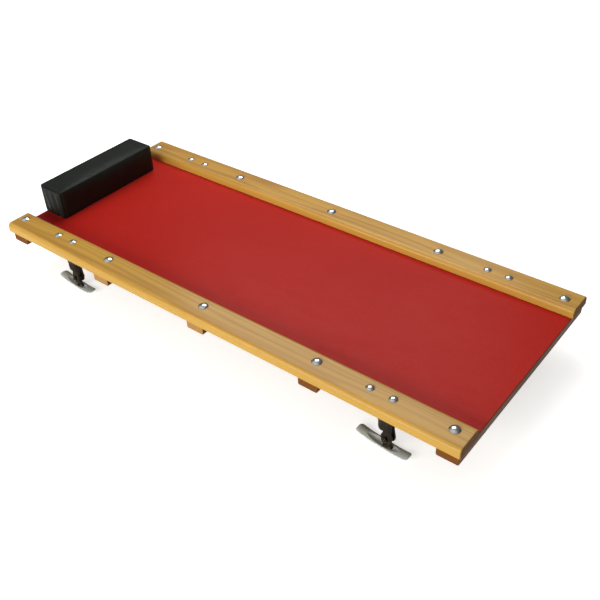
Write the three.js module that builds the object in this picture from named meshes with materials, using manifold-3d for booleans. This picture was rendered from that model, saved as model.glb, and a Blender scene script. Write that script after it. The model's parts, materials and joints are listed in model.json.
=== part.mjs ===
// Mechanics creeper: a low wooden platform to lie on while working under a car.
// Two hardwood rails and a thin deck lie on five cross slats. A cushion for the head sits at
// the -X end. Each corner stands on a swivelling foot with a rocking steel skid shoe.
//
// Millimetres, +Z up. The origin is on the floor under the middle of the platform.
// +X points to the foot end. Right is -Y, as for a person lying face up on the deck.
import * as THREE from "three";
import { mergeVertices } from "three/addons/utils/BufferGeometryUtils.js";
import Module from "manifold-3d";

// ---------- driving dimensions ----------
const OVERALL_LENGTH = 1016;
const OVERALL_WIDTH = 432;
const RAIL_TOP = 105;
const BOARD_THICKNESS = 19; // rails and slats are planed to the same thickness
const FIT_GAP = 0.3; // air between a fastener or pin and its hole
const ROUND_SIDES = 10; // facets round a bolt, pin or hole

const RAIL_WIDTH = 54;
const RAIL_ROUND = 8; // radius along both top edges
const EASED_CORNER = 2; // radius along every other long edge of the wood
const EASED_END = 1.2; // the bevel round the ends of the wood

const SLAT_WIDTH = 38;
const SLAT_ROUND = 3; // radius along both bottom edges
const SLAT_INSET = 4.5; // from a rail's outer face to a slat's end
const SLAT_X = [-482, -245, -5, 237, 486];
const SLAT_BOLT_X = [-491, -245, -5, 237, 481];

const DECK_THICKNESS = 3;
const DECK_SIDE_GAP = 0.5;
const DECK_END_INSET = 2.5;

const CUSHION = { length: 250, depth: 64, height: 61, round: 7 };
const CUSHION_BOARD = { length: 238, depth: 52, thickness: 6 };
const CUSHION_SCREW_X = -478;
const CUSHION_SCREW_Y = 80;

const FOOT_X = { head: -367.5, foot: 357.5 };
const PLATE = { length: 68, width: 42, thickness: 2.5, round: 6 };
const PLATE_BOLT_SPACING = 41.3;
const KINGPIN_OFFSET = 6; // from the middle of the plate to the kingpin's axis, towards the foot end
const SWIVEL_TRAIL = 9; // from the kingpin's axis to the pivot pin's axis
const PIVOT_HEIGHT = 22;
const REST_TURN = THREE.MathUtils.degToRad(5); // each foot rests with its toe turned a little outwards
const SHOE = { length: 100, width: 19.6, endWidth: 18.4, edge: 1.8, crown: 4.6, tipRise: 4, tipRound: 6 };
const SHOE_MIDDLE = -9; // from the pivot pin's axis to the middle of the shoe

// ---------- derived levels ----------
const RAIL_BOTTOM = RAIL_TOP - BOARD_THICKNESS;
const SLAT_BOTTOM = RAIL_BOTTOM - BOARD_THICKNESS;
const RAIL_Y = (OVERALL_WIDTH - RAIL_WIDTH) / 2;
const RAIL_INNER_Y = OVERALL_WIDTH / 2 - RAIL_WIDTH;
const BOLT_Y = 185; // every carriage bolt stands on this line of its rail
const DECK_TOP = RAIL_BOTTOM + DECK_THICKNESS;
const PLATE_BOTTOM = RAIL_BOTTOM - PLATE.thickness;

// ---------- fasteners ----------
const SLAT_BOLT = {
  shank: 4, // radius
  headRadius: 9.1,
  headHeight: 4.2,
  neck: { side: 7.8, depth: 5 },
  grip: 2 * BOARD_THICKNESS,
  washer: { radius: 9.5, thickness: 1.5 },
  nut: { radius: 7.3, thickness: 6.5 },
  tail: 2.5,
};
const PLATE_BOLT = {
  shank: 3.1,
  headRadius: 7.3,
  headHeight: 3.4,
  neck: { side: 6.2, depth: 4 },
  grip: BOARD_THICKNESS + PLATE.thickness,
  washer: null,
  nut: { radius: 5.8, thickness: 5 },
  tail: 2,
};
const WOOD_SCREW = { shank: 2.2, headRadius: 4.2, headHeight: 2.6, length: 26.5 };

// ---------- swivel hardware ----------
const KINGPIN = { radius: 4, headRadius: 5, headHeight: 2.5 };
const BALL = { count: 8, radius: 2.2, circle: 6.9 };
const CUP = { top: RAIL_BOTTOM - 10, radius: 9, roundFrom: 44, bottom: 35, mouth: 5 };
const CUP_FLANGE = { radius: 10.5, depth: 5 };
const RACE_BOSS = { radius: 8.5, depth: 2.5 };
const CROWN = { top: 60, thickness: 4, length: 29, width: 18, round: 7, middle: 5.5 };
const CHEEK = { inner: 3.4, thickness: 4, endRadius: 10.5, topFrom: 3, topTo: 16 };
const LUG = { halfWidth: 2.9, radius: 8 };
const WEB = { from: 6.4, to: 14.6, gap: 0.9 }; // the gap is the air over the lug
const PIVOT_PIN = { radius: 3, headRadius: 5.2, headLength: 3.2 };

// ---------- materials ----------
const surface = (color, roughness, metalness) =>
  new THREE.MeshStandardMaterial({ color, roughness, metalness });

const varnishedRail = surface(0xcfa163, 0.35, 0);
const slatWood = surface(0xa9713f, 0.5, 0);
const redDeck = surface(0xb3302a, 0.38, 0);
const blackVinyl = surface(0x1d1a18, 0.45, 0);
const plywood = surface(0xc9ab7c, 0.8, 0);
const zincPlate = surface(0xc4c8cb, 0.28, 1);
const polishedSteel = surface(0xd5d9dc, 0.12, 1);
const blackedSteel = surface(0x2a2724, 0.42, 0.8);

// ---------- solids ----------
const wasm = await Module();
wasm.setup();

function toSolid(geometry) {
  const bare = geometry.index ? geometry.toNonIndexed() : geometry.clone();
  bare.deleteAttribute("normal");
  bare.deleteAttribute("uv");
  const merged = mergeVertices(bare, 1e-4);
  const triVerts = new Uint32Array(merged.index.array);
  return new wasm.Manifold(
    new wasm.Mesh({ numProp: 3, vertProperties: merged.attributes.position.array, triVerts }),
  );
}

function toGeometry(solid) {
  const mesh = solid.getMesh();
  const geometry = new THREE.BufferGeometry();
  geometry.setAttribute("position", new THREE.BufferAttribute(mesh.vertProperties, 3));
  geometry.setIndex(new THREE.BufferAttribute(mesh.triVerts, 1));
  geometry.computeVertexNormals();
  return geometry;
}

function join(...geometries) {
  return toGeometry(geometries.map(toSolid).reduce((whole, part) => whole.add(part)));
}

function cut(geometry, ...tools) {
  return toGeometry(tools.map(toSolid).reduce((rest, tool) => rest.subtract(tool), toSolid(geometry)));
}

// ---------- basic shapes ----------
// A block between two corners.
function block(from, to) {
  const size = to.map((value, i) => value - from[i]);
  const middle = to.map((value, i) => (value + from[i]) / 2);
  return new THREE.BoxGeometry(...size).translate(...middle);
}

// An upright round bar, or an upright prism where there are few sides.
function upright(x, y, radius, zFrom, zTo, sides = ROUND_SIDES) {
  return new THREE.CylinderGeometry(radius, radius, zTo - zFrom, sides)
    .rotateX(Math.PI / 2)
    .translate(x, y, (zFrom + zTo) / 2);
}

// A round bar or prism along Y.
function crosswise(x, z, radius, yFrom, yTo, sides = ROUND_SIDES) {
  return new THREE.CylinderGeometry(radius, radius, yTo - yFrom, sides).translate(
    x,
    (yFrom + yTo) / 2,
    z,
  );
}

// A body turned about Z. The profile holds [radius, z] pairs, from the top down.
function turned(profile, sides = ROUND_SIDES) {
  const points = profile.map(([radius, z]) => new THREE.Vector2(radius, z));
  return new THREE.LatheGeometry(points.reverse(), sides).rotateX(Math.PI / 2);
}

// A rounded rectangle centred on the origin.
function roundedRectangle(width, height, radius) {
  const x = width / 2 - radius;
  const y = height / 2 - radius;
  const quarter = Math.PI / 2;
  const shape = new THREE.Shape();
  shape.moveTo(-x, -y - radius);
  shape.lineTo(x, -y - radius);
  shape.absarc(x, -y, radius, -quarter, 0, false);
  shape.absarc(x, y, radius, 0, quarter, false);
  shape.absarc(-x, y, radius, quarter, 2 * quarter, false);
  shape.absarc(-x, -y, radius, 2 * quarter, 3 * quarter, false);
  return shape;
}

// Stands an extrusion's depth along X, with its shape's x on Y and its shape's y on Z.
const depthAlongX = new THREE.Matrix4().makeBasis(
  new THREE.Vector3(0, 1, 0),
  new THREE.Vector3(0, 0, 1),
  new THREE.Vector3(1, 0, 0),
);

// A planed board along X, centred on X and Y, with its bottom at z = 0 and its ends eased.
function boardAlongX(section, length, curveSegments) {
  return new THREE.ExtrudeGeometry(section, {
    depth: length - 2 * EASED_END,
    bevelEnabled: true,
    bevelThickness: EASED_END,
    bevelSize: EASED_END,
    bevelOffset: -EASED_END,
    bevelSegments: 1,
    curveSegments,
  })
    .translate(0, 0, EASED_END - length / 2)
    .applyMatrix4(depthAlongX);
}

// ---------- wooden platform ----------
// A board's cross-section from z = 0 up, with one radius on the top and one on the bottom edges.
function boardSection(width, topRadius, bottomRadius) {
  const half = width / 2;
  const quarter = Math.PI / 2;
  const shape = new THREE.Shape();
  shape.moveTo(bottomRadius - half, 0);
  shape.lineTo(half - bottomRadius, 0);
  shape.absarc(half - bottomRadius, bottomRadius, bottomRadius, -quarter, 0, false);
  shape.absarc(half - topRadius, BOARD_THICKNESS - topRadius, topRadius, 0, quarter, false);
  shape.absarc(topRadius - half, BOARD_THICKNESS - topRadius, topRadius, quarter, 2 * quarter, false);
  shape.absarc(bottomRadius - half, bottomRadius, bottomRadius, 2 * quarter, 3 * quarter, false);
  return shape;
}

// The square pocket and round hole that a carriage bolt needs, below its seat.
function boltHole(bolt, x, y, seat) {
  const reach = bolt.neck.side / 2 + FIT_GAP;
  const pocket = block(
    [x - reach, y - reach, seat - bolt.neck.depth - FIT_GAP],
    [x + reach, y + reach, seat + 1],
  );
  const hole = upright(x, y, bolt.shank + FIT_GAP, seat - bolt.grip - 1, seat);
  return [pocket, hole];
}

function plateBoltXs(footX) {
  return [footX - PLATE_BOLT_SPACING / 2, footX + PLATE_BOLT_SPACING / 2];
}

function rail(side) {
  const section = boardSection(RAIL_WIDTH, RAIL_ROUND, EASED_CORNER);
  const board = boardAlongX(section, OVERALL_LENGTH, 4).translate(0, side * RAIL_Y, RAIL_BOTTOM);
  const slatHoles = SLAT_BOLT_X.flatMap((x) => boltHole(SLAT_BOLT, x, side * BOLT_Y, RAIL_TOP));
  const plateHoles = Object.values(FOOT_X)
    .flatMap(plateBoltXs)
    .flatMap((x) => boltHole(PLATE_BOLT, x, side * BOLT_Y, RAIL_TOP));
  return cut(board, ...slatHoles, ...plateHoles);
}

function slat(index) {
  const length = OVERALL_WIDTH - 2 * SLAT_INSET;
  const board = boardAlongX(boardSection(SLAT_WIDTH, EASED_CORNER, SLAT_ROUND), length, 2)
    .rotateZ(Math.PI / 2)
    .translate(SLAT_X[index], 0, SLAT_BOTTOM);
  const holes = [-1, 1].map((side) =>
    upright(SLAT_BOLT_X[index], side * BOLT_Y, SLAT_BOLT.shank + FIT_GAP, SLAT_BOTTOM - 1, RAIL_BOTTOM + 1),
  );
  if (index === 0) holes.push(...cushionScrewHoles());
  return cut(board, ...holes);
}

function deck() {
  const halfLength = OVERALL_LENGTH / 2 - DECK_END_INSET;
  const halfWidth = RAIL_INNER_Y - DECK_SIDE_GAP;
  const panel = block([-halfLength, -halfWidth, RAIL_BOTTOM], [halfLength, halfWidth, DECK_TOP]);
  return cut(panel, ...cushionScrewHoles());
}

// ---------- headrest ----------
const CUSHION_X = (CUSHION.depth - OVERALL_LENGTH) / 2;

function cushionScrewHoles() {
  return [-1, 1].map((side) =>
    upright(
      CUSHION_SCREW_X,
      side * CUSHION_SCREW_Y,
      WOOD_SCREW.shank + FIT_GAP,
      SLAT_BOTTOM - 1,
      DECK_TOP + CUSHION_BOARD.thickness + 1,
    ),
  );
}

function cushionBoard() {
  const { length, depth, thickness } = CUSHION_BOARD;
  const board = block(
    [CUSHION_X - depth / 2, -length / 2, DECK_TOP],
    [CUSHION_X + depth / 2, length / 2, DECK_TOP + thickness],
  );
  return cut(board, ...cushionScrewHoles());
}

// A plain rounded block, open below where the board sits in it.
function cushion() {
  const { length, depth, height, round } = CUSHION;
  const body = new THREE.ExtrudeGeometry(roundedRectangle(depth - 2 * round, length - 2 * round, 1), {
    depth: height - 2 * round,
    bevelEnabled: true,
    bevelThickness: round,
    bevelSize: round,
    bevelSegments: 3,
    curveSegments: 1,
  }).translate(CUSHION_X, 0, DECK_TOP + round);
  const recess = block(
    [CUSHION_X - CUSHION_BOARD.depth / 2 - FIT_GAP, -CUSHION_BOARD.length / 2 - FIT_GAP, DECK_TOP - 1],
    [
      CUSHION_X + CUSHION_BOARD.depth / 2 + FIT_GAP,
      CUSHION_BOARD.length / 2 + FIT_GAP,
      DECK_TOP + CUSHION_BOARD.thickness + FIT_GAP,
    ],
  );
  return cut(body, recess);
}

// A wood screw pointing up, its head under the head slat.
function woodScrew(x, y) {
  const { shank, headRadius, headHeight, length } = WOOD_SCREW;
  const top = SLAT_BOTTOM + length;
  return turned(
    [
      [0, top],
      [0.4 * shank, top - 0.5],
      [shank, top - 4],
      [shank, SLAT_BOTTOM],
      [headRadius, SLAT_BOTTOM],
      [headRadius, SLAT_BOTTOM - 0.4 * headHeight],
      [0.7 * headRadius, SLAT_BOTTOM - 0.85 * headHeight],
      [0, SLAT_BOTTOM - headHeight],
    ],
    10,
  ).translate(x, y, 0);
}

// ---------- carriage bolts ----------
// The cap of a sphere over a circle of headRadius, from its top down to its rim.
function domeProfile(headRadius, headHeight, seat, steps = 3) {
  const sphere = (headRadius ** 2 + headHeight ** 2) / (2 * headHeight);
  const halfAngle = Math.asin(headRadius / sphere);
  return Array.from({ length: steps + 1 }, (_, i) => {
    const angle = (halfAngle * i) / steps;
    return [sphere * Math.sin(angle), seat + headHeight - sphere * (1 - Math.cos(angle))];
  });
}

// A carriage bolt seated on the rail, joined to its washer and nut.
function carriageBolt(bolt, x, y) {
  const seat = RAIL_TOP;
  const clampFace = seat - bolt.grip;
  const washerBottom = clampFace - (bolt.washer ? bolt.washer.thickness : 0);
  const nutBottom = washerBottom - bolt.nut.thickness;
  const end = nutBottom - bolt.tail;
  const shaft = turned([
    ...domeProfile(bolt.headRadius, bolt.headHeight, seat),
    [bolt.shank, seat],
    [bolt.shank, end],
    [0, end],
  ]);
  const halfNeck = bolt.neck.side / 2;
  const parts = [
    shaft,
    block([-halfNeck, -halfNeck, seat - bolt.neck.depth], [halfNeck, halfNeck, seat + 0.5]),
    upright(0, 0, bolt.nut.radius, nutBottom, washerBottom, 6),
  ];
  if (bolt.washer) parts.push(upright(0, 0, bolt.washer.radius, washerBottom, clampFace));
  return join(...parts).translate(x, y, 0);
}

// ---------- swivelling feet, modelled about the kingpin's axis ----------
function footPlate() {
  const { length, width, thickness, round } = PLATE;
  const middle = -KINGPIN_OFFSET;
  const plate = new THREE.ExtrudeGeometry(roundedRectangle(length, width, round), {
    depth: thickness,
    bevelEnabled: false,
    curveSegments: 2,
  }).translate(middle, 0, PLATE_BOTTOM);
  const boss = upright(0, 0, RACE_BOSS.radius, PLATE_BOTTOM - RACE_BOSS.depth, PLATE_BOTTOM + 1);
  const kingpinHole = upright(0, 0, KINGPIN.radius + FIT_GAP, 0, RAIL_TOP);
  const boltHoles = plateBoltXs(middle).map((x) => upright(x, 0, PLATE_BOLT.shank + FIT_GAP, 0, RAIL_TOP));
  return cut(join(plate, boss), kingpinHole, ...boltHoles);
}

function kingpin() {
  const { radius, headRadius, headHeight } = KINGPIN;
  const seat = CUP.bottom - FIT_GAP;
  return turned([
    [0, RAIL_BOTTOM - FIT_GAP],
    [radius, RAIL_BOTTOM - FIT_GAP],
    [radius, seat],
    [headRadius, seat],
    [headRadius, seat - 0.5 * headHeight],
    [0.6 * headRadius, seat - headHeight],
    [0, seat - headHeight],
  ]);
}

// Bearing balls held in a flat cage ring.
function ballRing() {
  const level = CUP.top + BALL.radius + FIT_GAP;
  const cage = turned(
    [
      [BALL.circle - 0.9, level + 0.6],
      [BALL.circle + 0.9, level + 0.6],
      [BALL.circle + 0.9, level - 0.6],
      [BALL.circle - 0.9, level - 0.6],
      [BALL.circle - 0.9, level + 0.6],
    ],
    2 * BALL.count,
  );
  const balls = Array.from({ length: BALL.count }, (_, i) => {
    const angle = (2 * Math.PI * i) / BALL.count;
    return new THREE.IcosahedronGeometry(BALL.radius, 0).translate(
      BALL.circle * Math.cos(angle),
      BALL.circle * Math.sin(angle),
      level,
    );
  });
  return join(cage, ...balls);
}

// The swivel cup: a flange under the balls, a straight barrel and a round lower end at the kingpin's head.
function swivelCup() {
  const { top, radius, roundFrom, bottom, mouth } = CUP;
  const flangeBottom = top - CUP_FLANGE.depth;
  const steps = 4;
  const bell = Array.from({ length: steps + 1 }, (_, i) => {
    const angle = (Math.PI * i) / (2 * steps);
    return [
      mouth + (radius - mouth) * Math.cos(angle),
      roundFrom - (roundFrom - bottom) * Math.sin(angle),
    ];
  });
  const rim = [
    [0, top],
    [CUP_FLANGE.radius, top],
    [CUP_FLANGE.radius, flangeBottom],
    [radius, flangeBottom - 2],
  ];
  return turned([...rim, ...bell, [0, bottom]], 14);
}

// The crown: a flat plate, round at its corners, that joins the cheeks to the cup.
function crown() {
  const { top, thickness, length, width, round, middle } = CROWN;
  return new THREE.ExtrudeGeometry(roundedRectangle(length, width, round), {
    depth: thickness,
    bevelEnabled: false,
    curveSegments: 4,
  }).translate(middle, 0, top - thickness);
}

// One cheek in the XZ plane: straight sides from the crown down to a round end at the pivot.
function cheek(side) {
  const { inner, thickness, endRadius, topFrom, topTo } = CHEEK;
  const shape = new THREE.Shape();
  shape.moveTo(topTo, CROWN.top - 1);
  shape.lineTo(topFrom, CROWN.top - 1);
  shape.absarc(SWIVEL_TRAIL, PIVOT_HEIGHT, endRadius, Math.PI, 2 * Math.PI, false);
  const yFrom = side > 0 ? inner : -inner - thickness;
  return new THREE.ExtrudeGeometry(shape, { depth: thickness, bevelEnabled: false, curveSegments: 4 })
    .rotateX(Math.PI / 2)
    .translate(0, yFrom + thickness, 0);
}

// The solid part of the fork between its cheeks, arched over the lug.
function web() {
  const halfWidth = CHEEK.inner + 0.4;
  const body = block([WEB.from, -halfWidth, PIVOT_HEIGHT], [WEB.to, halfWidth, CROWN.top - 1]);
  const archRadius = LUG.radius + WEB.gap;
  return cut(body, crosswise(SWIVEL_TRAIL, PIVOT_HEIGHT, archRadius, -halfWidth - 1, halfWidth + 1, 20));
}

function swivelFork() {
  const solid = join(swivelCup(), crown(), web(), cheek(-1), cheek(1));
  const bore = upright(0, 0, KINGPIN.radius + FIT_GAP + 0.1, 0, RAIL_TOP);
  const headRoom = upright(0, 0, KINGPIN.headRadius + 1, CUP.bottom - KINGPIN.headHeight - 2, CUP.bottom);
  const reach = CHEEK.inner + CHEEK.thickness + 1;
  const pinHole = crosswise(SWIVEL_TRAIL, PIVOT_HEIGHT, PIVOT_PIN.radius + FIT_GAP, -reach, reach);
  return cut(solid, bore, headRoom, pinHole);
}

// The pivot pin, a hexagon-headed bolt with its nut, through both cheeks.
function pivotPin() {
  const face = CHEEK.inner + CHEEK.thickness + FIT_GAP;
  const { radius, headRadius, headLength } = PIVOT_PIN;
  const end = face + headLength;
  return join(
    crosswise(SWIVEL_TRAIL, PIVOT_HEIGHT, radius, -end + 0.5, end + 1.5),
    crosswise(SWIVEL_TRAIL, PIVOT_HEIGHT, headRadius, -end, -face, 6),
    crosswise(SWIVEL_TRAIL, PIVOT_HEIGHT, headRadius, face, end, 6),
  );
}

// Half the shoe's width at a point along it, from -1 at one tip to 1 at the other: the sides
// bow out to the middle and the tips are rounded off.
function shoeHalfWidth(along) {
  const bowed = SHOE.width + (SHOE.endWidth - SHOE.width) * along ** 2;
  const tipRound = SHOE.tipRound / (SHOE.length / 2);
  const intoTip = Math.max(0, (Math.abs(along) - 1 + tipRound) / tipRound);
  return (bowed / 2) * (0.55 + 0.45 * Math.sqrt(Math.max(0, 1 - intoTip ** 2)));
}

// The shoe's underside: flat in the middle where it stands, turned up towards both tips.
function shoeRise(along) {
  const flat = 0.3;
  const beyond = Math.max(0, (Math.abs(along) - flat) / (1 - flat));
  return SHOE.tipRise * beyond ** 2;
}

// The shoe as a closed grid: a crowned upper sheet and a lower sheet that is flat across, joined
// round the edge.
function shoeBody() {
  const columns = 16;
  const rows = 4;
  const middle = SWIVEL_TRAIL + SHOE_MIDDLE;
  const positions = [];
  for (const upper of [0, 1]) {
    for (let i = 0; i <= columns; i += 1) {
      const along = (2 * i) / columns - 1;
      for (let j = 0; j <= rows; j += 1) {
        const across = (2 * j) / rows - 1;
        const thickness = SHOE.edge + (SHOE.crown - SHOE.edge) * (1 - across ** 2);
        const z = shoeRise(along) + upper * thickness;
        positions.push(middle + (along * SHOE.length) / 2, across * shoeHalfWidth(along), z);
      }
    }
  }
  const index = [];
  const at = (upper, i, j) => upper * (columns + 1) * (rows + 1) + i * (rows + 1) + j;
  const quad = (a, b, c, d) => index.push(a, b, c, a, c, d);
  for (let i = 0; i < columns; i += 1) {
    for (let j = 0; j < rows; j += 1) {
      quad(at(1, i, j), at(1, i + 1, j), at(1, i + 1, j + 1), at(1, i, j + 1));
      quad(at(0, i, j), at(0, i, j + 1), at(0, i + 1, j + 1), at(0, i + 1, j));
    }
    quad(at(0, i, 0), at(0, i + 1, 0), at(1, i + 1, 0), at(1, i, 0));
    quad(at(0, i + 1, rows), at(0, i, rows), at(1, i, rows), at(1, i + 1, rows));
  }
  for (let j = 0; j < rows; j += 1) {
    quad(at(0, 0, j + 1), at(0, 0, j), at(1, 0, j), at(1, 0, j + 1));
    quad(at(0, columns, j), at(0, columns, j + 1), at(1, columns, j + 1), at(1, columns, j));
  }
  const geometry = new THREE.BufferGeometry();
  geometry.setAttribute("position", new THREE.Float32BufferAttribute(positions, 3));
  geometry.setIndex(index);
  return geometry;
}

function skidShoe() {
  const { halfWidth, radius } = LUG;
  const lugFoot = block(
    [SWIVEL_TRAIL - radius, -halfWidth, SHOE.crown / 2],
    [SWIVEL_TRAIL + radius, halfWidth, PIVOT_HEIGHT],
  );
  const lugTop = crosswise(SWIVEL_TRAIL, PIVOT_HEIGHT, radius, -halfWidth, halfWidth, 14);
  const hole = crosswise(SWIVEL_TRAIL, PIVOT_HEIGHT, PIVOT_PIN.radius + 0.4, -halfWidth - 1, halfWidth + 1);
  return cut(join(shoeBody(), lugFoot, lugTop), hole);
}

// ---------- assembly ----------
const creeper = new THREE.Group();

function addPiece(name, geometry, material, parent = creeper) {
  const mesh = new THREE.Mesh(geometry, material);
  mesh.name = name;
  parent.add(mesh);
}

const SIDES = { right: -1, left: 1 };

for (const [side, sign] of Object.entries(SIDES)) {
  addPiece(`rail_${side}`, rail(sign), varnishedRail);
  SLAT_BOLT_X.forEach((x, i) => {
    addPiece(`slat_bolt_${side}_${i + 1}`, carriageBolt(SLAT_BOLT, x, sign * BOLT_Y), zincPlate);
  });
}

["1_head", "2", "3", "4", "5_foot"].forEach((label, i) => {
  addPiece(`slat_${label}`, slat(i), slatWood);
});

addPiece("deck_panel", deck(), redDeck);
addPiece("headrest_board", cushionBoard(), plywood);
addPiece("headrest_cushion", cushion(), blackVinyl);
for (const [side, sign] of Object.entries(SIDES)) {
  addPiece(`headrest_screw_${side}`, woodScrew(CUSHION_SCREW_X, sign * CUSHION_SCREW_Y), zincPlate);
}

for (const [end, footX] of Object.entries(FOOT_X)) {
  for (const [side, sign] of Object.entries(SIDES)) {
    const corner = `${end}_${side}`;
    plateBoltXs(footX).forEach((x, i) => {
      addPiece(`plate_bolt_${corner}_${i + 1}`, carriageBolt(PLATE_BOLT, x, sign * BOLT_Y), zincPlate);
    });
    const foot = new THREE.Group();
    foot.position.set(footX + KINGPIN_OFFSET, sign * BOLT_Y, 0);
    creeper.add(foot);
    addPiece(`foot_plate_${corner}`, footPlate(), blackedSteel, foot);
    addPiece(`kingpin_${corner}`, kingpin(), zincPlate, foot);
    const swivel = new THREE.Group();
    swivel.rotation.z = sign * REST_TURN;
    foot.add(swivel);
    addPiece(`ball_ring_${corner}`, ballRing(), polishedSteel, swivel);
    addPiece(`swivel_fork_${corner}`, swivelFork(), blackedSteel, swivel);
    addPiece(`pivot_pin_${corner}`, pivotPin(), blackedSteel, swivel);
    addPiece(`skid_shoe_${corner}`, skidShoe(), polishedSteel, swivel);
  }
}

export default creeper;
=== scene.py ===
# The looks of the mechanics creeper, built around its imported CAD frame.
# The frame is in metres, +Z up, with +X to the foot end and -Y on the right-hand side.
# Sizes of small details are in millimetres, and each piece is placed by what the frame says.
import json
import math

import bmesh
import bpy
import numpy as np
from mathutils import Matrix, Vector
from mathutils.bvhtree import BVHTree


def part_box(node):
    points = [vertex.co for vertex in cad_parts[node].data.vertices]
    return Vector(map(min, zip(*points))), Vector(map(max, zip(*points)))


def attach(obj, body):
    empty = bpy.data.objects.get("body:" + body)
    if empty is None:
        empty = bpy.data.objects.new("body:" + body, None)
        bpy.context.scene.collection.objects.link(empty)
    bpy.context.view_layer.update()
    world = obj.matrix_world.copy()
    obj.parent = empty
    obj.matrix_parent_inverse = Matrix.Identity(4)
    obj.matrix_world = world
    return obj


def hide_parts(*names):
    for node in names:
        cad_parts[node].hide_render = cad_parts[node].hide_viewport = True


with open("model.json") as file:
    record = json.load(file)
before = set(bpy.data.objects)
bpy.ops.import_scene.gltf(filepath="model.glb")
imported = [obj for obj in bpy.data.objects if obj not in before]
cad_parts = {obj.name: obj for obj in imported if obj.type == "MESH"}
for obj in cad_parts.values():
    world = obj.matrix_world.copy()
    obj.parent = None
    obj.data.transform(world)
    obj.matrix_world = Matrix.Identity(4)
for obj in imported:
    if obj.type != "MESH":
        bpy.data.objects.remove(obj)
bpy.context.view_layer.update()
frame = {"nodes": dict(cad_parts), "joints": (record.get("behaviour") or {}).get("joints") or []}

MM = 0.001
PLATFORM = "platform"
SIDES = ("right", "left")
CORNERS = [f"{end}_{side}" for end in ("head", "foot") for side in SIDES]

# ---------- places taken from the frame, in metres ----------
RAIL_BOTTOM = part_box("rail_right")[0].z
SLAT_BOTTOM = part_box("slat_2")[0].z
DECK_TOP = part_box("deck_panel")[1].z
JOINTS = {joint["name"]: joint for joint in frame["joints"]}
PIVOT_HEIGHT = JOINTS["rock_foot_right"]["pos_m"][2] / MM

# ---------- detail sizes, in millimetres ----------
PLATE_THICKNESS = 2.5
SLAT_BOLT = {"head": 9.1, "dome": 4.2, "shank": 4, "neck": 7.8, "washer": 9.5, "flats": 12.6, "nut": 6.5}
PLATE_BOLT = {"head": 7.3, "dome": 3.4, "shank": 3.1, "neck": 6.2, "washer": 0, "flats": 10, "nut": 5}
THREAD_PITCH = 1.2
WASHER_THICKNESS = 1.5
NECK_DEPTH = 5  # of the square under a bolt's head
OVERLAP = 0.2  # how far one solid of a piece runs into the next
ROUND = 40  # points round a turned shape


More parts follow.
